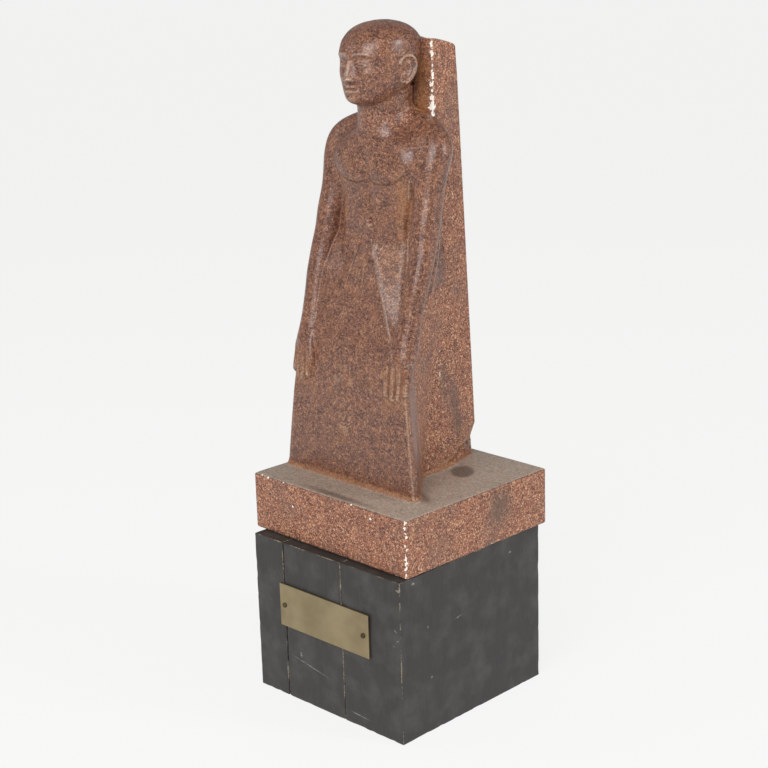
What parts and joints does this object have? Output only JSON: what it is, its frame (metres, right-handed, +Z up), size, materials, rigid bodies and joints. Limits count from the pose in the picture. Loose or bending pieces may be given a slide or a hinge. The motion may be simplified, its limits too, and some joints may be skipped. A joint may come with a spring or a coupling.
{
  "type": "egyptian priest statue",
  "caption": "Standing figure of a shaven-headed priest in a long projecting kilt, hands laid flat on it, with a back pillar and plinth, on a black wooden base with a plain brass plate.",
  "frame": {"origin": "centre of the wooden base's underside", "axes": "+Z up, the figure and the plate face -Y, +X towards the figure's left hand"},
  "size_m": [0.1607, 0.1608, 0.4939],
  "materials": {
    "cast_block": "hard plaster or cast stone finished as red granite, polished on the body and dull on the rest",
    "painted_wood": "worn black paint",
    "plate_brass": "aged, dull"
  },
  "bodies": {
    "root": {"statue": "cast_block", "base_plank_left": "painted_wood", "base_plank_middle": "painted_wood", "base_plank_right": "painted_wood", "brass_plate": "plate_brass", "brass_pin_left": "plate_brass", "brass_pin_right": "plate_brass"}
  },
  "joints": []
}
